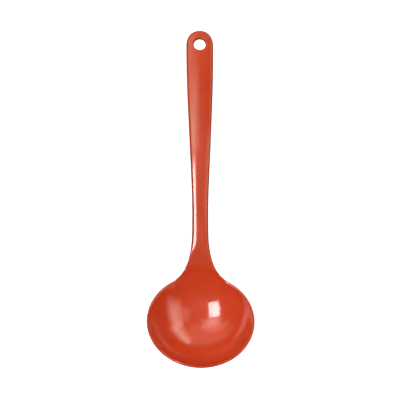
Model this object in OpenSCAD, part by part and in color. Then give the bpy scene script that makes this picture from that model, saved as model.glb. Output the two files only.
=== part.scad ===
// Soup ladle, one moulding in four zones: bowl, neck, handle and hanging end.
// It lies on its back: the bowl's underside and the tip of the handle touch z = 0,
// the hanging end points along +Y and the bowl opens upwards. Millimetres.

/* [Bowl] */
// Inner radius of the spherical bowl
bowl_ri = 51.3; // [50:0.1:53]
// Wall thickness of the bowl
wall = 2.5; // [2:0.1:3]
// Half angle that the bowl spans, from its centre line to the lip
bowl_half_angle = 62; // [60:0.5:64]
// Tilt of the lip plane when the ladle lies on its back
tilt = 31; // [29:0.5:33]
// Distance of the lip circle's centre from the handle's datum
lip_y = -107.8; // [-109:0.1:-107]

/* [Handle] */
// Where the rounded tip ends
tip_y = 151.6; // [150:0.1:153]
// Length of the rounded part of the tip
tip_len = 14.6; // [14:0.1:15.5]
// Half width of the handle at the tip
tip_w = 12; // [11.8:0.05:12.2]
// Roundness of the tip's outline, 2 is an ellipse
tip_p = 2.3; // [2:0.05:2.6]
// Share of the thickness that lies above the parting line
front_share = 0.6; // [0.55:0.01:0.65]
// Width of the rounded edge along the outline
edge = 1.6; // [1.2:0.1:2]
// How much the front is crowned across its width
crown = 0.12; // [0.08:0.01:0.16]

/* [Neck] */
// Rise of the underside towards the edges of the neck's flare
flare_rise = 0.045; // [0.03:0.005:0.05]

/* [Hanging hole] */
// Radius of the hanging hole
hole_r = 5.3; // [5:0.1:6]
// Distance of the hole from the handle's datum
hole_y = 138.9; // [138:0.1:139.5]
// Lean of the hole's axis towards the tip
hole_lean = 14; // [11:0.5:16]
// Width of the hole's bevelled edge
hole_edge = 0.5; // [0.3:0.1:0.8]

/* [Hidden] */

mould = [0.78, 0.24, 0.15];     // tomato red
ring_n = 24;                    // points on the front of each section, and on its back

// Where the neck starts inside the bowl's wall, and the planes where the other zones meet
neck_start_y = -80;
neck_handle_y = -14;
handle_end_y = 110;

// [y, half width] of the outline, from inside the bowl's wall to the tip
W_TAB = [[-84, 22], [-76, 22], [-73, 22.3], [-71, 21.7], [-68, 18.8], [-65, 16.2],
         [-60, 13.1], [-55, 11], [-50, 9.6], [-45, 8.6], [-40, 7.9], [-30, 7.3], [-20, 7.15],
         [-10, 7.15], [0, 7.3], [10, 7.6], [30, 8.45], [50, 9.4], [70, 10.25], [90, 11.1],
         [110, 11.7], [125, 11.95], [135, 12], [153, 12]];
// [y, height] of the front along the centre line. Beyond the neck it rises clear of the bowl
Z_TAB = [[-84, 48], [-80, 40], [-75, 29], [-70, 21.2], [-66, 17.4], [-62, 16.2], [-58, 17],
         [-50, 18.9], [-42, 20.4], [-20, 22.7], [0, 23.7], [20, 24], [40, 23.6], [70, 21], [100, 16],
         [137, 8.3], [153, 4.7]];
// [y, thickness] of the bar on the centre line
T_TAB = [[-40, 7.5], [-20, 7.5], [0, 7.4], [40, 7], [80, 6.3], [120, 5.7], [153, 5.2]];
// [y, height] of the underside through the neck, where it runs in under the bowl
B_TAB = [[-84, 15], [-80, 10], [-75, 7], [-71, 6], [-68, 6.4], [-64, 7.7], [-60, 9.3], [-50, 11.8],
         [-40, 13.3], [-30, 14.4], [-20, 15.2], [-10, 15.9]];

rm = bowl_ri + wall / 2;
c_y = lip_y + rm * cos(bowl_half_angle) * sin(tilt);
c_z = bowl_ri + wall;
front_y = c_y - bowl_ri - wall;
shift_y = -(tip_y + front_y) / 2;
tip_c = tip_y - tip_len;

// Smooth curve through a table of [position, value] rows
function seg(t, y, i = 0) = (i >= len(t) - 2 || y < t[i + 1][0]) ? i : seg(t, y, i + 1);
function tang(t, i) = i == 0 ? (t[1][1] - t[0][1]) / (t[1][0] - t[0][0])
    : i == len(t) - 1 ? (t[i][1] - t[i - 1][1]) / (t[i][0] - t[i - 1][0])
    : (t[i + 1][1] - t[i - 1][1]) / (t[i + 1][0] - t[i - 1][0]);
function herm(t, i, y) = let(h = t[i + 1][0] - t[i][0], u = (y - t[i][0]) / h)
    (2 * u * u * u - 3 * u * u + 1) * t[i][1] + (u * u * u - 2 * u * u + u) * h * tang(t, i)
    + (3 * u * u - 2 * u * u * u) * t[i + 1][1] + (u * u * u - u * u) * h * tang(t, i + 1);
function curve(t, y) = herm(t, seg(t, y), y);

function step01(a, b, v) = let(u = min(max((v - a) / (b - a), 0), 1)) u * u * (3 - 2 * u);

// Half width of the section at y
function half_w(y) = y < tip_c ? curve(W_TAB, y)
    : tip_w * pow(max(1 - pow((y - tip_c) / tip_len, tip_p), 0), 1 / tip_p);

// How far a point of the section lies inside the outline
function inset(x, y, w) = y < tip_c ? w - abs(x) : let(
    a = abs(x) / tip_w, b = (y - tip_c) / tip_len,
    g = pow(pow(a, tip_p) + pow(b, tip_p), 1 / tip_p),
    slope = norm([pow(a, tip_p - 1) / tip_w, pow(b, tip_p - 1) / tip_len]))
    g < 0.2 ? tip_len / 2 : (1 - g) * pow(g, tip_p - 1) / slope;

// One closed section at y: the front from -X to +X, then the back from +X to -X
function section(y) = let(
        w = half_w(y), zc = curve(Z_TAB, y), full = y < tip_c ? w : tip_w,
        mix = step01(-45, -28, y), thin = 1 - step01(-62, -38, y), crowned = step01(-53, -32, y),
        zb = (mix < 1 ? curve(B_TAB, y) * (1 - mix) : 0) + (mix > 0 ? (zc - curve(T_TAB, y)) * mix : 0))
    [for (j = [0 : 2 * ring_n - 1]) let(
        front = j < ring_n,
        a = front ? -90 + 180 * j / ring_n : 90 - 180 * (j - ring_n) / ring_n,
        x = w * sin(a),
        t = x / full,
        zf = zc - crowned * full * t * t * (crown + 0.063 * t * t),
        g = 1 - min(max(inset(x, y, w), 0) / edge, 1),
        side = max(abs(x) - 6, 0),
        zu = min(zb + thin * flare_rise * side * side, zf - 1.5),
        part = zu + (zf - zu) * (1 - front_share),
        e = pow(max(1 - g * g, 0), 0.42))
        [x, y, front ? part + (zf - part) * e : part - (part - zu) * e]];

// Closed solid through the sections at the listed stations
module loft(ys) {
    n = 2 * ring_n;
    m = len(ys);
    pts = [for (y = ys) each section(y)];
    // each end is closed by a strip between its front and its back
    strip = concat([for (j = [0 : ring_n - 2]) [j, j + 1, n - 1 - j]],
                   [for (j = [1 : ring_n - 1]) [j, n - 1 - j, n - j]]);
    end = (m - 1) * n;
    faces = concat(
        strip,
        [for (t = strip) [end + t[2], end + t[1], end + t[0]]],
        [for (i = [0 : m - 2]) for (j = [0 : n - 1]) let(k = (j + 1) % n) each [
            [i * n + j, (i + 1) * n + j, (i + 1) * n + k],
            [i * n + j, (i + 1) * n + k, i * n + k]]]);
    polyhedron(points = pts, faces = faces, convexity = 6);
}

// Section of the bowl's wall with its full round lip, in the plane of the axis
module bowl_profile() {
    intersection() {
        difference() {
            circle(r = bowl_ri + wall, $fn = 120);
            circle(r = bowl_ri, $fn = 120);
        }
        polygon([[0, 0], [0, -2 * bowl_ri],
                 [2 * bowl_ri * tan(bowl_half_angle / 2), -2 * bowl_ri],
                 [2 * bowl_ri * sin(bowl_half_angle), -2 * bowl_ri * cos(bowl_half_angle)]]);
    }
    translate([rm * sin(bowl_half_angle), -rm * cos(bowl_half_angle)])
        circle(d = wall, $fn = 20);
}

// The same section without its hollow, level with the top of the lip
module lip_profile() {
    intersection() {
        circle(r = bowl_ri + wall, $fn = 120);
        polygon([[0, wall / 2 - rm * cos(bowl_half_angle)], [0, -2 * bowl_ri],
                 [2 * bowl_ri * tan(bowl_half_angle / 2), -2 * bowl_ri],
                 [2 * bowl_ri * sin(bowl_half_angle), -2 * bowl_ri * cos(bowl_half_angle)],
                 [rm * sin(bowl_half_angle), -rm * cos(bowl_half_angle)],
                 [rm * sin(bowl_half_angle), wall / 2 - rm * cos(bowl_half_angle)]]);
    }
    translate([rm * sin(bowl_half_angle), -rm * cos(bowl_half_angle)])
        circle(d = wall, $fn = 20);
}

// Moves a shape from the sphere's centre to the bowl's place and tilt
module at_bowl() translate([0, shift_y + c_y, c_z]) rotate([-tilt, 0, 0]) children();

module bowl() color(mould) {
    at_bowl() rotate_extrude($fn = 96) bowl_profile();
}

// The neck sits on the back of the bowl's wall, and its front carries the bowl's hollow upwards
module neck() color(mould) {
    difference() {
        translate([0, shift_y, 0])
            loft([neck_start_y, -77.5, -75.5, -74, -72.5, -71, -69.5, -68, -66.5, -65, -63.5, -62, -60, -58,
                  -56, -53, -50, -46, -42, -37, -32, -26, -20, neck_handle_y]);
        at_bowl() rotate_extrude($fn = 96) lip_profile();
        at_bowl() sphere(r = bowl_ri, $fn = 120);
    }
}

module handle() color(mould) {
    translate([0, shift_y, 0])
        loft([for (y = [neck_handle_y : 4 : handle_end_y]) y]);
}

module hanging_end() color(mould) {
    hole_z = curve(Z_TAB, hole_y) - curve(T_TAB, hole_y) / 2;
    translate([0, shift_y, 0])
        difference() {
            loft(concat([handle_end_y, 114, 118, 122, 126, 129, 132, 134.5],
                        [for (d = [14.6, 12.8, 11, 9.2, 7.6, 6.2, 5, 4, 3.1, 2.3, 1.6, 1, 0.6, 0.3, 0.1])
                            tip_y - d]));
            translate([0, hole_y, hole_z]) rotate([-hole_lean, 0, 0]) {
                cylinder(r = hole_r, h = 30, center = true, $fn = 64);
                translate([0, 0, 1.85]) cylinder(r1 = hole_r, r2 = hole_r + 6 * hole_edge, h = 3, $fn = 64);
                translate([0, 0, -5.15]) cylinder(r1 = hole_r + 6 * hole_edge, r2 = hole_r, h = 3, $fn = 64);
            }
        }
}

bowl();
neck();
handle();
hanging_end();
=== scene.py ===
"""Soup ladle: one glossy moulding, shown as its bowl, neck, handle and hanging end.

The surface is one smooth function of space. It is sampled on a grid, drawn onto the exact
surface, relaxed into even quads, and cut into its four zones. Lengths are in millimetres until
the meshes are made.
"""
import math

import bmesh
import bpy
import numpy as np
from mathutils import Euler, Matrix, Vector


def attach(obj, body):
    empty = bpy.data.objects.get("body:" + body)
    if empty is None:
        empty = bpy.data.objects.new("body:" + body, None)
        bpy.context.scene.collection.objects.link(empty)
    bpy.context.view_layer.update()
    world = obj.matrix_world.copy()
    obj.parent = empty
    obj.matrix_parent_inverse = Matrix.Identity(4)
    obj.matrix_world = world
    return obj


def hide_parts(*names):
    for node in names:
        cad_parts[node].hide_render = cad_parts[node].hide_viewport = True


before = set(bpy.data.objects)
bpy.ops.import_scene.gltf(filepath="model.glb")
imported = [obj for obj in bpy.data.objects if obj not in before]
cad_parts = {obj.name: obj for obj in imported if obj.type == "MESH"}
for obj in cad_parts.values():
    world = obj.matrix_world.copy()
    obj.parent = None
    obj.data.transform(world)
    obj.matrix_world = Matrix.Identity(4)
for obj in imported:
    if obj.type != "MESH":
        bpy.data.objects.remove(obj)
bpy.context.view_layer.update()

# ---------------------------------------------------------------- dimensions, as in the CAD
RI, WALL = 51.3, 2.5
PHI, TILT = math.radians(62), math.radians(31)
LIP_Y = -107.8
TIP_Y, TIP_LEN, TIP_W, TIP_P = 151.6, 14.6, 12.0, 2.3
HOLE_R, HOLE_Y, HOLE_LEAN = 5.3, 138.9, math.radians(14)
RM, RO, LIP_R = RI + WALL / 2, RI + WALL, WALL / 2
CY = LIP_Y + RM * math.cos(PHI) * math.sin(TILT)
CZ = RO
SHIFT = -(TIP_Y + CY - RO) / 2          # the handle's datum to the model's origin

W_PTS = [(-96, 22), (-84, 22), (-76, 22), (-73, 22.3), (-71, 21.7), (-68, 18.8), (-65, 16.2),
         (-60, 13.1), (-55, 11), (-50, 9.6), (-45, 8.6), (-40, 7.9), (-30, 7.3), (-20, 7.15),
         (-10, 7.15), (0, 7.3), (10, 7.6), (30, 8.45), (50, 9.4), (70, 10.25), (90, 11.1),
         (110, 11.7), (125, 11.95), (135, 12), (152, 12)]
Z_PTS = [(-84, 48), (-80, 40), (-75, 29), (-70, 21.2), (-66, 17.4), (-62, 16.2), (-58, 17),
         (-50, 18.9), (-42, 20.4), (-20, 22.7), (0, 23.7), (20, 24), (40, 23.6), (70, 21), (100, 16),
         (137, 8.3), (152, 4.9)]
T_PTS = [(-40, 7.5), (-20, 7.5), (0, 7.4), (40, 7), (80, 6.3), (120, 5.7), (150, 5.3)]
B_PTS = [(-84, 15), (-80, 10), (-75, 7), (-71, 6), (-68, 6.4), (-64, 7.7), (-60, 9.3), (-50, 11.8),
         (-40, 13.3), (-30, 14.4), (-20, 15.2)]


def spline(pts):
    """Natural cubic curve through the points, straight beyond its ends."""
    x = np.array([p[0] for p in pts], float)
    y = np.array([p[1] for p in pts], float)
    n, h = len(x), np.diff([p[0] for p in pts]).astype(float)
    a, r = np.zeros((n, n)), np.zeros(n)
    a[0, 0] = a[-1, -1] = 1
    for i in range(1, n - 1):
        a[i, i - 1], a[i, i], a[i, i + 1] = h[i - 1], 2 * (h[i - 1] + h[i]), h[i]
        r[i] = 6 * ((y[i + 1] - y[i]) / h[i] - (y[i] - y[i - 1]) / h[i - 1])
    m = np.linalg.solve(a, r)
    s0 = (y[1] - y[0]) / h[0] - h[0] * (2 * m[0] + m[1]) / 6
    s1 = (y[-1] - y[-2]) / h[-1] + h[-1] * (m[-2] + 2 * m[-1]) / 6

    def f(q):
        k = np.clip(np.searchsorted(x, q) - 1, 0, n - 2)
        hh = h[k]
        u, v = (x[k + 1] - q) / hh, (q - x[k]) / hh
        out = u * y[k] + v * y[k + 1] + ((u ** 3 - u) * m[k] + (v ** 3 - v) * m[k + 1]) * hh * hh / 6
        out = np.where(q < x[0], y[0] + s0 * (q - x[0]), out)
        return np.where(q > x[-1], y[-1] + s1 * (q - x[-1]), out)
    return f


W_F, Z_F, T_F, B_F = spline(W_PTS), spline(Z_PTS), spline(T_PTS), spline(B_PTS)
# tabulated over y, because every sample of the volume asks for them
YT = np.arange(-170, 172, 0.05)


def table(v):
    return lambda y: np.interp(y, YT, v)


def step01(a, b, v):
    u = np.clip((v - a) / (b - a), 0, 1)
    return u * u * u * (u * (6 * u - 15) + 10)


def smax(a, b, k):
    d = np.maximum(k - np.abs(a - b), 0) / k
    return np.maximum(a, b) + d ** 3 * k / 6


def smin(a, b, k):
    return -smax(-a, -b, k)


_w = np.where(YT < -72, 22.0, W_F(YT))
_mix = step01(-45, -28, YT)
_zt = Z_F(YT)
_zb = B_F(YT) * (1 - _mix) + (Z_F(YT) - T_F(YT)) * _mix
W_T, ZT_T, ZB_T = table(W_F(YT)), table(_zt), table(_zb)
WS_T = table(1 / np.sqrt(1 + np.gradient(W_F(YT), YT) ** 2))
ZS_T = table(1 / np.sqrt(1 + np.gradient(_zt, YT) ** 2))
ZBS_T = table(1 / np.sqrt(1 + np.gradient(_zb, YT) ** 2))
THIN_T = table(1 - step01(-62, -38, YT))
# width of the rounded edge: finer along the neck's flare, fuller on the handle
FREE_T = table(1 - step01(-104, -84, YT))             # the free lip, away from the neck
LE_T = table(LIP_R + 0.35 * FREE_T(YT) - 0.4 * step01(-76, -64, YT) + 0.75 * step01(-54, -40, YT))
MF_T = table(2 + 0.6 * step01(-70, -45, YT))          # roundness of the front
MB_T = table(2 + 0.6 * step01(-70, -45, YT))
CR_T = table(step01(-55, -33, YT))                    # the front is crowned from the neck upwards
KT_T = table(4.0 - 2.0 * step01(-72, -64, YT))        # how softly the hollow meets the neck
S0_T = table(0.4 * FREE_T(YT) - 0.2 * step01(-70, -45, YT))  # where the parting line lies in the thickness

NAX = np.array([0, math.sin(TILT), math.cos(TILT)])   # out of the bowl
HOLE_A = np.array([0, math.sin(HOLE_LEAN), math.cos(HOLE_LEAN)])
HOLE_P = np.array([0, HOLE_Y, float(Z_F(np.array([HOLE_Y]))[0]) - 2.9])


def solid(x, y, z, parts=False):
    """Below 0 inside the moulding, 0 on its surface. Coordinates from the handle's datum."""
    qy, qz = y - CY, z - CZ
    rho = np.sqrt(x * x + qy * qy + qz * qz)
    ax = -(qy * NAX[1] + qz * NAX[2])
    theta = np.arccos(np.clip(ax / np.maximum(rho, 1e-6), -1, 1))
    # front of the bar, and the bowl's hollow
    t2 = np.minimum(x * x / W_T(y) ** 2, 1.5)
    crown = CR_T(y) * W_T(y) * t2 * (0.12 + 0.063 * t2)
    u1 = (z - ZT_T(y) + crown - 3 * np.maximum(-84 - y, 0)) * ZS_T(y)
    # the wall eases outwards at the free lip
    ease = np.clip((theta - PHI + 0.12) / 0.12, 0, 1.1) * FREE_T(y)
    top = smax(u1, RI + 0.6 * ease * ease - rho, KT_T(y))
    # underside of the bar, and the bowl's outside
    side = np.maximum(np.abs(x) - 6, 0)
    v1 = (ZB_T(y) + 3 * np.maximum(-84 - y, 0) + THIN_T(y) * 0.045 * side * side - z) * ZBS_T(y)
    bot = smin(v1, rho - RO, 6.0)
    half = np.maximum(-(top + bot) / 2, 0.8)
    s = (top - bot) / 2
    s0 = S0_T(y) * half
    v = np.where(s > s0, (s - s0) / (half - s0), (s0 - s) / (half + s0))
    m = np.where(s > s0, MF_T(y), MB_T(y))
    # how far inside the outline
    o_bowl = RM * (PHI - theta) + LIP_R
    o_bar = np.minimum((W_T(y) - np.abs(x)) * WS_T(y), y + 83)
    o = smax(o_bowl, o_bar, 3.0)
    tip = y > TIP_Y - TIP_LEN
    if np.any(tip):
        a, b = np.abs(x) / TIP_W, np.maximum(y - TIP_Y + TIP_LEN, 0) / TIP_LEN
        g = np.maximum(a ** TIP_P + b ** TIP_P, 1e-6) ** (1 / TIP_P)
        slope = np.hypot(a ** (TIP_P - 1) / TIP_W, b ** (TIP_P - 1) / TIP_LEN) / g ** (TIP_P - 1)
        o = np.where(tip, (1 - g) / np.maximum(slope, 1 / TIP_LEN), o)
    g2 = np.maximum(1 - o / LE_T(y), 0) ** 2
    # the hanging hole with its rounded edge
    hx, hy, hz = x, y - HOLE_P[1], z - HOLE_P[2]
    ha = hy * HOLE_A[1] + hz * HOLE_A[2]
    hd = np.sqrt(np.maximum(hx * hx + hy * hy + hz * hz - ha * ha, 0))
    gh = np.maximum(1 - (hd - HOLE_R) / 0.9, 0) ** 2
    val = g2 + gh + v ** m - 1
    if parts:
        return val, s, s0, half, o
    return val


def gradient(p, e=1e-3):
    g = np.empty_like(p)
    for i in range(3):
        d = np.zeros(3); d[i] = e
        a, b = p + d, p - d
        g[:, i] = (solid(a[:, 0], a[:, 1], a[:, 2]) - solid(b[:, 0], b[:, 1], b[:, 2])) / (2 * e)
    return g


def onto_surface(p, rounds=4, limit=0.4):
    for _ in range(rounds):
        f = solid(p[:, 0], p[:, 1], p[:, 2])
        g = gradient(p)
        step = -(f / np.maximum((g * g).sum(1), 1e-9))[:, None] * g
        size = np.linalg.norm(step, axis=1, keepdims=True)
        p = p + step * np.minimum(1, limit / np.maximum(size, 1e-9))
    return p


# ---------------------------------------------------------------- sampling into quads
H = 0.55


def surface_quads(h):
    xs = (np.arange(int(100 / h / 2) * 2 + 2) - (int(100 / h / 2) * 2 + 1) / 2) * h
    ys = np.arange(-149.3, 153.5, h)
    zs = np.arange(-1.2, 61.5, h)
    val = np.ones((len(xs), len(ys), len(zs)), np.float32)
    for a in range(0, len(ys), 24):
        yy = ys[a:a + 24]
        if yy[0] > -56:
            ix = np.abs(xs) < 14
            iz = zs < 27
        else:
            ix = np.abs(xs) < 50
            iz = zs < 62
        x, y, z = np.meshgrid(xs[ix], yy, zs[iz], indexing="ij")
        sub = solid(x.ravel(), y.ravel(), z.ravel()).reshape(x.shape)
        val[np.ix_(ix, np.arange(a, a + len(yy)), iz)] = np.clip(sub, -5, 5)
    ins = val < 0
    c = [ins[i:ins.shape[0] - 1 + i, j:ins.shape[1] - 1 + j, k:ins.shape[2] - 1 + k]
         for i in (0, 1) for j in (0, 1) for k in (0, 1)]
    act = np.logical_or.reduce(c) & ~np.logical_and.reduce(c)
    ids = np.full(act.shape, -1, np.int64)
    ci, cj, ck = np.nonzero(act)
    ids[ci, cj, ck] = np.arange(len(ci))
    acc = np.zeros((len(ci), 3))
    cnt = np.zeros(len(ci))
    corner = [(i, j, k) for i in (0, 1) for j in (0, 1) for k in (0, 1)]
    for p in corner:
        for ax in range(3):
            if p[ax]:
                continue
            q = list(p); q[ax] = 1
            va = val[ci + p[0], cj + p[1], ck + p[2]].astype(float)
            vb = val[ci + q[0], cj + q[1], ck + q[2]].astype(float)
            hit = (va < 0) != (vb < 0)
            t = np.where(hit, va / np.where(hit, va - vb, 1), 0)
            pos = np.tile(np.array(p, float), (len(ci), 1))
            pos[:, ax] += t
            acc += np.where(hit[:, None], pos, 0)
            cnt += hit
    local = acc / cnt[:, None]
    verts = np.stack([xs[ci], ys[cj], zs[ck]], 1) + local * h
    quads = []
    for ax in range(3):
        sl0 = [slice(None)] * 3; sl1 = [slice(None)] * 3
        sl0[ax], sl1[ax] = slice(0, -1), slice(1, None)
        a, b = ins[tuple(sl0)], ins[tuple(sl1)]
        e = np.stack(np.nonzero(a != b), 1)
        o1, o2 = [(1, 2), (2, 0), (0, 1)][ax]
        ring = []
        for d1, d2 in ((-1, -1), (0, -1), (0, 0), (-1, 0)):
            cc = e.copy()
            cc[:, o1] += d1; cc[:, o2] += d2
            ring.append(ids[cc[:, 0], cc[:, 1], cc[:, 2]])
        q = np.stack(ring, 1)
        out = a[e[:, 0], e[:, 1], e[:, 2]]        # inside first: the face looks along +axis
        q[~out] = q[~out][:, ::-1]
        quads.append(q)
    return verts, np.concatenate(quads)


def relax(verts, quads, rounds):
    """Evens the quads out along the surface."""
    edges = np.concatenate([quads[:, [i, (i + 1) % 4]] for i in range(4)])
    n = len(verts)
    deg = np.bincount(edges.ravel(), minlength=n).astype(float)[:, None]
    for _ in range(rounds):
        s = np.zeros_like(verts)
        for i in range(3):
            s[:, i] = np.bincount(edges[:, 0], verts[edges[:, 1], i], n) + np.bincount(edges[:, 1], verts[edges[:, 0], i], n)
        verts = onto_surface(verts * 0.4 + s / deg * 0.6, 1)
    return onto_surface(verts, 3)


def make_moulding():
    verts, quads = surface_quads(H)
    verts = onto_surface(verts, 3)
    verts = relax(verts, quads, 6)
    return verts, quads


verts, quads = make_moulding()

# ---------------------------------------------------------------- the four zones
CUTS = [("bowl", None, -70.0), ("neck", -70.0, -14.0), ("handle", -14.0, 110.0), ("hanging_end", 110.0, None)]

whole = bpy.data.meshes.new("whole")
whole.from_pydata([tuple(v) for v in verts], [], [tuple(q) for q in quads.tolist()])
bm = bmesh.new()
bm.from_mesh(whole)
bpy.data.meshes.remove(whole)
for cut in (-70.0, -14.0, 110.0):
    bmesh.ops.bisect_plane(bm, geom=bm.verts[:] + bm.edges[:] + bm.faces[:], dist=1e-5,
                           plane_co=(0, cut, 0), plane_no=(0, 1, 0))


def zone_mesh(name, low, high):
    part = bm.copy()
    gone = [f for f in part.faces
            if (low is not None and f.calc_center_median().y < low)
            or (high is not None and f.calc_center_median().y > high)]
    bmesh.ops.delete(part, geom=gone, context="FACES")
    loose = [v for v in part.verts if not v.link_faces]
    bmesh.ops.delete(part, geom=loose, context="VERTS")
    for cut in (low, high):
        if cut is None:
            continue
        rim = [e for e in part.edges if e.is_boundary and abs(e.verts[0].co.y - cut) < 1e-3
               and abs(e.verts[1].co.y - cut) < 1e-3]
        bmesh.ops.edgeloop_fill(part, edges=rim, mat_nr=0, use_smooth=False)
    part.normal_update()
    part.verts.index_update()
    pts = np.array([v.co[:] for v in part.verts])
    nrm = gradient(pts)
    nrm /= np.linalg.norm(nrm, axis=1, keepdims=True)
    _, s, s0, half, o = solid(pts[:, 0], pts[:, 1], pts[:, 2], True)
    for f in part.faces:
        f.smooth = True
        c = f.calc_center_median()
        if (low is not None and abs(c.y - low) < 1e-4) or (high is not None and abs(c.y - high) < 1e-4):
            f.smooth = False
    mesh = bpy.data.meshes.new(name)
    part.to_mesh(mesh)
    part.free()
    co = (pts + [0, SHIFT, 0]) / 1000
    mesh.vertices.foreach_set("co", co.ravel())
    # how far from the darker parting line, which on the free lip is moved onto the lip's outer face so that it
    # paints shade there, and how close to the outline, for the finish
    for key, val in (("parting", s - s0 + 0.95 * FREE_T(pts[:, 1])), ("outline", np.clip(o, -2, 30))):
        at = mesh.attributes.new(key, "FLOAT", "POINT")
        at.data.foreach_set("value", val.astype(np.float32))
    loops = np.empty(len(mesh.loops), np.int32)
    mesh.loops.foreach_get("vertex_index", loops)
    loop_n = nrm[loops]
    for poly in mesh.polygons:
        if not poly.use_smooth:
            loop_n[poly.loop_start:poly.loop_start + poly.loop_total] = poly.normal[:]
    mesh.normals_split_custom_set([tuple(v) for v in loop_n])
    return mesh


pieces = {}
for name, low, high in CUTS:
    obj = bpy.data.objects.new("moulded_" + name, zone_mesh(name, low, high))
    bpy.context.scene.collection.objects.link(obj)
    pieces[name] = obj
bm.free()


# ---------------------------------------------------------------- material
def moulded_red():
    """Glossy moulded melamine: clouds and specks in the pigment, an uneven polish with hairline scratches, a
    buffed edge, and the darker trimmed line where the two halves of the mould met, which on the bowl's free lip
    lies on the lip's outer face as painted shade."""
    mat = bpy.data.materials.new("moulded_melamine")
    mat.use_nodes = True
    nt = mat.node_tree
    nodes, link = nt.nodes, nt.links.new
    bsdf = nodes["Principled BSDF"]
    bsdf.inputs["IOR"].default_value = 1.6
    bsdf.inputs["Coat Weight"].default_value = 0.0
    geo = nodes.new("ShaderNodeTexCoord")

    def placed(scale=(1, 1, 1), turn=(0, 0, 0)):
        m = nodes.new("ShaderNodeMapping")
        m.inputs["Scale"].default_value = scale
        m.inputs["Rotation"].default_value = turn
        link(geo.outputs["Object"], m.inputs["Vector"])
        return m.outputs["Vector"]

    def noise(scale, detail, rough=0.5, at=None, warp=0.0):
        n = nodes.new("ShaderNodeTexNoise")
        n.inputs["Scale"].default_value = scale
        n.inputs["Detail"].default_value = detail
        n.inputs["Roughness"].default_value = rough
        n.inputs["Distortion"].default_value = warp
        link(at if at is not None else geo.outputs["Object"], n.inputs["Vector"])
        return n.outputs["Fac"]

    def ranged(value, a, b, c, d, smooth=False):
        n = nodes.new("ShaderNodeMapRange")
        if smooth:
            n.interpolation_type = "SMOOTHSTEP"
        for key, v in zip(("From Min", "From Max", "To Min", "To Max"), (a, b, c, d)):
            n.inputs[key].default_value = v
        link(value, n.inputs["Value"])
        return n.outputs["Result"]

    def calc(op, a, b):
        n = nodes.new("ShaderNodeMath")
        n.operation = op
        for k, v in enumerate((a, b)):
            if isinstance(v, (int, float)):
                n.inputs[k].default_value = v
            else:
                link(v, n.inputs[k])
        return n.outputs["Value"]

    def blend(mode, amount, a, b):
        n = nodes.new("ShaderNodeMix"); n.data_type = "RGBA"; n.blend_type = mode
        for key, v in ((0, amount), (6, a), (7, b)):
            if isinstance(v, (int, float, tuple)):
                n.inputs[key].default_value = v
            else:
                link(v, n.inputs[key])
        return n.outputs[2]

    def from_mesh(name):
        n = nodes.new("ShaderNodeAttribute")
        n.attribute_name = name
        return n.outputs["Fac"]

    # the resin's faint clouds
    ramp = nodes.new("ShaderNodeValToRGB")
    ramp.color_ramp.elements[0].position, ramp.color_ramp.elements[1].position = 0.3, 0.72
    ramp.color_ramp.elements[0].color = (0.69, 0.059, 0.0128, 1)
    ramp.color_ramp.elements[1].color = (0.77, 0.070, 0.0156, 1)
    link(noise(38, 4, warp=0.4), ramp.inputs["Fac"])
    # fine specks of pigment, a few of them darker
    grain = nodes.new("ShaderNodeValToRGB")
    grain.color_ramp.elements[0].position, grain.color_ramp.elements[1].position = 0.2, 0.8
    grain.color_ramp.elements[0].color = (0.9, 0.9, 0.9, 1)
    grain.color_ramp.elements[1].color = (1, 1, 1, 1)
    link(noise(900, 2), grain.inputs["Fac"])
    colour = blend("MULTIPLY", 1.0, ramp.outputs["Color"], grain.outputs["Color"])
    cells = nodes.new("ShaderNodeTexVoronoi")
    cells.inputs["Scale"].default_value = 260
    link(geo.outputs["Object"], cells.inputs["Vector"])
    speck = calc("MULTIPLY", ranged(cells.outputs["Distance"], 0.05, 0.12, 1, 0),
                 ranged(noise(75, 1), 0.6, 0.68, 0, 1))
    colour = blend("MIX", calc("MULTIPLY", speck, 0.45), colour, (0.36, 0.026, 0.009, 1))
    # the trimmed line of the mould's halves, along the outline, in a darker red; on the bowl's free lip it lies
    # on the lip's outer face, where the darker red is painted shade
    off = calc("ABSOLUTE", from_mesh("parting"), 0.0)
    near = ranged(from_mesh("outline"), 0.3, 0.9, 1, 0)
    parting_and_lip_shade = calc("MULTIPLY", ranged(off, 0.08, 0.3, 1, 0, True), near)
    parting_and_lip_shade = calc("MULTIPLY", parting_and_lip_shade, ranged(noise(220, 3), 0.3, 0.6, 0.55, 1))
    # painted shade: the darker red of the line darkens the outer face of the bowl's free lip
    colour = blend("MIX", calc("MULTIPLY", parting_and_lip_shade, 0.55), colour, (0.46, 0.045, 0.016, 1))
    link(colour, bsdf.inputs["Base Color"])
    # polish: slightly uneven, duller along the buffed edge, with hairline scratches
    rough = ranged(noise(60, 5, 0.6), 0.3, 0.7, 0.10, 0.165)
    edge = ranged(from_mesh("outline"), 0.2, 2.2, 0.035, 0.0)
    rough = calc("ADD", rough, edge)
    hair = None
    for turn, scale, seed in ((0.35, 520, 0.62), (-0.8, 430, 0.64), (1.35, 610, 0.63)):
        lines = noise(1.0, 2, 0.55, placed((scale, scale * 0.02, scale * 0.25), (0.1, 0.15, turn)))
        mask = ranged(noise(33 + 9 * turn, 2), 0.5, 0.62, 0, 1)
        one = calc("MULTIPLY", ranged(lines, seed, seed + 0.05, 0, 1), mask)
        hair = one if hair is None else calc("MAXIMUM", hair, one)
    rough = calc("ADD", rough, calc("MULTIPLY", hair, 0.09))
    rough = calc("ADD", rough, calc("MULTIPLY", parting_and_lip_shade, 0.22))
    link(rough, bsdf.inputs["Roughness"])
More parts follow.
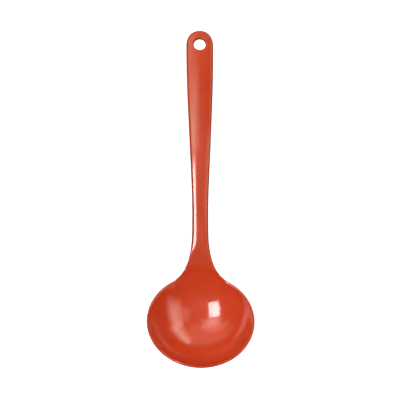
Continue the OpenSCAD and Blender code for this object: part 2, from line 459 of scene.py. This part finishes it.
    # shallow waves of the moulding, and the scratches' fine relief
    waves = nodes.new("ShaderNodeBump")
    waves.inputs["Strength"].default_value = 0.05
    waves.inputs["Distance"].default_value = 0.0004
    link(noise(140, 2), waves.inputs["Height"])
    fine = nodes.new("ShaderNodeBump")
    fine.inputs["Strength"].default_value = 0.1
    fine.inputs["Distance"].default_value = 0.00006
    link(calc("SUBTRACT", calc("MULTIPLY", parting_and_lip_shade, 1.2), hair), fine.inputs["Height"])
    link(waves.outputs["Normal"], fine.inputs["Normal"])
    link(fine.outputs["Normal"], bsdf.inputs["Normal"])
    return mat


RED = moulded_red()
for name, obj in pieces.items():
    obj.data.materials.append(RED)
    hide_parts(name)
    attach(obj, "root")

# ---------------------------------------------------------------- floor, light and camera
MM = 0.001


floor_mesh = bpy.data.meshes.new("floor")
floor_mesh.from_pydata([(-3, -3, 0), (3, -3, 0), (3, 3, 0), (-3, 3, 0)], [], [(0, 1, 2, 3)])
floor = bpy.data.objects.new("floor", floor_mesh)
floor.location.z = -0.0003
bpy.context.scene.collection.objects.link(floor)
fm = bpy.data.materials.new("pale_floor")
fm.use_nodes = True
fb = fm.node_tree.nodes["Principled BSDF"]
fb.inputs["Base Color"].default_value = (0.9, 0.9, 0.9, 1)
fb.inputs["Roughness"].default_value = 0.9
fb.inputs["Emission Color"].default_value = (1, 1, 1, 1)
fb.inputs["Emission Strength"].default_value = 0.9
floor.data.materials.append(fm)
floor.visible_glossy = False
floor.visible_diffuse = False


def panel(name, centre, size, radiance, turned=(0.0, 0.0, 0.0), mirrored=True, layers=1, soft=(0.0, 0.0),
          drift=(0.0, 0.0, 0.0), tint=(1.0, 1.0, 1.0)):
    """A light panel. A mirrored one shows in the gloss only, and the others light the surface
    without showing in it. Layers of growing size soften a panel's edges, and drift moves the
    larger ones to one side, so that the opposite edge stays crisp."""
    for i in range(layers):
        grow = (2 * (i + 0.5) / layers - 1) if layers > 1 else 0.0
        light = bpy.data.lights.new(name + str(i), "AREA")
        light.shape = "RECTANGLE"
        light.size, light.size_y = size[0] + grow * soft[0], size[1] + grow * soft[1]
        light.color = tint
        light.energy = radiance / layers * math.pi * light.size * light.size_y
        o = bpy.data.objects.new(name + str(i), light)
        o.rotation_euler = turned
        back = Euler(turned).to_matrix() @ Vector((0, 0, 0.005 * i))
        o.location = Vector((centre[0], centre[1] + SHIFT * MM, centre[2])) + Vector(drift) * grow + back
        o.visible_camera = False
        o.visible_diffuse = not mirrored
        o.visible_glossy = mirrored
        bpy.context.scene.collection.objects.link(o)


RIGHT = math.pi / 2
# what the gloss mirrors: a bright box on the left with a soft glow behind it, a dim panel and a
# near strip on the right, and the lit walls of the room
ROOM = (0.96, 1.03, 0.88)
panel("key_box", (-0.234, -0.049, 0.47), (0.186, 0.254), 16, turned=(-0.1, -0.3, 0.12))
panel("key_glow", (-0.25, 0.225, 0.5), (0.30, 0.19), 4.0, layers=6, soft=(0.28, 0.12), drift=(-0.02, 0.055, 0), tint=ROOM)
panel("left_glow", (-0.57, 0.53, 0.55), (0.86, 0.30), 1.0, layers=3, soft=(0.24, 0.14), tint=ROOM)
panel("back_wall", (-0.62, 1.5, 1.28), (3.2, 2.06), 0.75, turned=(-RIGHT, 0, 0), layers=4, soft=(1.6, 0.15),
      drift=(-0.5, 0, 0), tint=ROOM)
panel("right_panel", (0.32, 0.05, 0.5), (0.25, 0.29), 1.0, turned=(0, 0.2, -0.3), layers=3, soft=(0.05, 0.05), tint=ROOM)
panel("right_strip", (0.35, 0.035, 0.30), (0.22, 0.36), 3.3, turned=(0, RIGHT, 0), layers=6, soft=(0.17, 0.20),
      drift=(0, 0, 0.03), tint=ROOM)
panel("right_wall", (2.4, 4.8, 1.6), (1.7, 6.0), 3.3, turned=(0, RIGHT, 0), layers=6, soft=(1.3, 1.0),
      drift=(0, 0, 0.2), tint=ROOM)
panel("ceiling", (0, 0.2, 2.2), (1.2, 1.8), 0.2, layers=3, soft=(0.4, 0.4))
# what lights the surface evenly
panel("overhead", (-0.1, -0.05, 1.0), (1.2, 1.2), 1.48, mirrored=False)
panel("back_fill", (0, 2.2, 0.9), (2.0, 1.2), 1.6, turned=(-RIGHT, 0, 0), mirrored=False)
panel("left_fill", (-0.9, 0, 1.6), (1.2, 1.6), 0.9, mirrored=False)

world = bpy.data.worlds.new("room")
bpy.context.scene.world = world
world.use_nodes = True
wn = world.node_tree
bg = wn.nodes["Background"]
bg.inputs["Color"].default_value = (0.5, 0.5, 0.5, 1)
bg.inputs["Strength"].default_value = 0.44
path = wn.nodes.new("ShaderNodeLightPath")
bg2 = wn.nodes.new("ShaderNodeBackground")
bg2.inputs["Color"].default_value = (0.95, 0.95, 0.95, 1)
bg2.inputs["Strength"].default_value = 1.0
bg3 = wn.nodes.new("ShaderNodeBackground")
bg3.inputs["Color"].default_value = (0.5, 0.5, 0.5, 1)
bg3.inputs["Strength"].default_value = 0.18
m1 = wn.nodes.new("ShaderNodeMixShader")
m2 = wn.nodes.new("ShaderNodeMixShader")
wn.links.new(path.outputs["Is Glossy Ray"], m1.inputs[0])
wn.links.new(bg.outputs[0], m1.inputs[1])
wn.links.new(bg3.outputs[0], m1.inputs[2])
wn.links.new(path.outputs["Is Camera Ray"], m2.inputs[0])
wn.links.new(m1.outputs[0], m2.inputs[1])
wn.links.new(bg2.outputs[0], m2.inputs[2])
wn.links.new(m2.outputs[0], wn.nodes["World Output"].inputs["Surface"])

CAM_H = 3.0
cam_data = bpy.data.cameras.new("camera")
cam_data.sensor_fit = "HORIZONTAL"
cam_data.sensor_width = 36
cam_data.lens = 36 * CAM_H / (400 * 0.89 * MM)
cam_data.clip_start, cam_data.clip_end = 0.05, 50
cam = bpy.data.objects.new("camera", cam_data)
# the camera leans a little towards the hanging end, and stands a little to the left
PITCH, ROLL, TWIST = math.radians(2.7), math.radians(1.2), math.radians(0.0)
turn = (Matrix.Rotation(PITCH, 3, "X") @ Matrix.Rotation(-ROLL, 3, "Y") @ Matrix.Rotation(TWIST, 3, "Z"))
pivot = Vector((0, CY + SHIFT, CZ))
cam.location = (pivot + turn @ Vector((-1.0, 93.0, CAM_H / MM - CZ))) * MM
cam.rotation_euler = turn.to_euler()
bpy.context.scene.collection.objects.link(cam)
bpy.context.scene.camera = cam
bpy.context.scene.view_settings.view_transform = "Standard"
